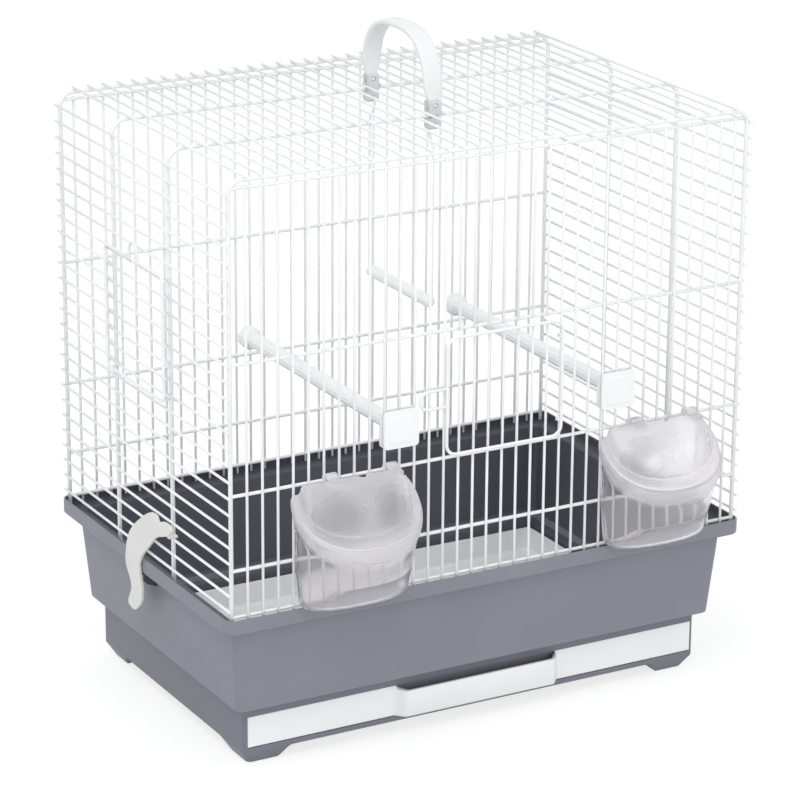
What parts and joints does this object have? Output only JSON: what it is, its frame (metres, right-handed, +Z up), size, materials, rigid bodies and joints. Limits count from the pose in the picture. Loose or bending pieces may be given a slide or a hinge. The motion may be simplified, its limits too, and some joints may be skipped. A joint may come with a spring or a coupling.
{
  "type": "bird cage",
  "caption": "Free-standing wire bird cage on a moulded base with a pull-out drawer, hooked feeders, perches, a swing, wire doors, rim clips and a carrying handle.",
  "frame": {"origin": "on the ground under the centre of the whole cage's bounding box", "axes": "+Z up, -Y toward the front with the door and feeders, +X to the right seen from the front"},
  "size_m": [0.4356, 0.3298, 0.5],
  "materials": {
    "white_coated_wire": "satin",
    "grey_moulding": "satin",
    "white_moulding": "satin",
    "ivory_moulding": "satin",
    "dark_moulding": "matte",
    "clear_plastic": "gloss"
  },
  "bodies": {
    "cage": {"tray_body": "grey_moulding", "front_grille": "white_coated_wire", "back_grille": "white_coated_wire", "left_grille": "white_coated_wire", "right_grille": "white_coated_wire", "roof_grille": "white_coated_wire", "perch_left": "white_moulding", "perch_right": "white_moulding", "perch_holder_left": "white_moulding", "perch_holder_right": "white_moulding", "handle_clip_front": "dark_moulding", "handle_clip_back": "dark_moulding"},
    "drawer": {"drawer_pan": "white_moulding", "drawer_front": "white_moulding"},
    "front_door": {"front_door": "white_coated_wire"},
    "side_door": {"side_door": "white_coated_wire"},
    "feeder_left": {"feeder_cup_left": "clear_plastic", "feeder_hood_left": "clear_plastic"},
    "feeder_right": {"feeder_cup_right": "clear_plastic", "feeder_hood_right": "clear_plastic"},
    "swing": {"swing_bar": "white_moulding", "swing_hanger_front": "white_coated_wire", "swing_hanger_back": "white_coated_wire"},
    "handle": {"carry_handle": "white_moulding"},
    "side_clip_left": {"side_clip_left": "ivory_moulding"},
    "side_clip_right": {"side_clip_right": "ivory_moulding"}
  },
  "joints": [
    {"name": "drawer_slide", "type": "slide", "parent": "cage", "child": "drawer", "axis": [0, -1, 0], "range_m": [0, 0.2]},
    {"name": "front_door_hinge", "type": "hinge", "parent": "cage", "child": "front_door", "pos_m": [0.054, -0.1176, 0.262], "axis": [0, 0, 1], "range_deg": [0, 110]},
    {"name": "side_door_lift", "type": "slide", "parent": "cage", "child": "side_door", "axis": [0, 0, 1], "range_m": [0, 0.085]},
    {"name": "feeder_left_tilt", "type": "hinge", "parent": "cage", "child": "feeder_left", "pos_m": [-0.108, -0.1157, 0.2155], "axis": [-1, 0, 0], "range_deg": [0, 20]},
    {"name": "feeder_right_tilt", "type": "hinge", "parent": "cage", "child": "feeder_right", "pos_m": [0.144, -0.1157, 0.2155], "axis": [-1, 0, 0], "range_deg": [0, 20]},
    {"name": "swing_pivot", "type": "hinge", "parent": "cage", "child": "swing", "pos_m": [0, 0.02215, 0.434], "axis": [0, 1, 0], "range_deg": [-25, 25]},
    {"name": "handle_fold", "type": "hinge", "parent": "cage", "child": "handle", "pos_m": [0, 0.02215, 0.448], "axis": [0, 1, 0], "range_deg": [-70, 70]},
    {"name": "side_clip_left_turn", "type": "hinge", "parent": "cage", "child": "side_clip_left", "pos_m": [-0.2125, 0.02415, 0.108], "axis": [0, -1, 0], "range_deg": [0, 25]},
    {"name": "side_clip_right_turn", "type": "hinge", "parent": "cage", "child": "side_clip_right", "pos_m": [0.2125, 0.02415, 0.108], "axis": [0, 1, 0], "range_deg": [0, 25]}
  ]
}
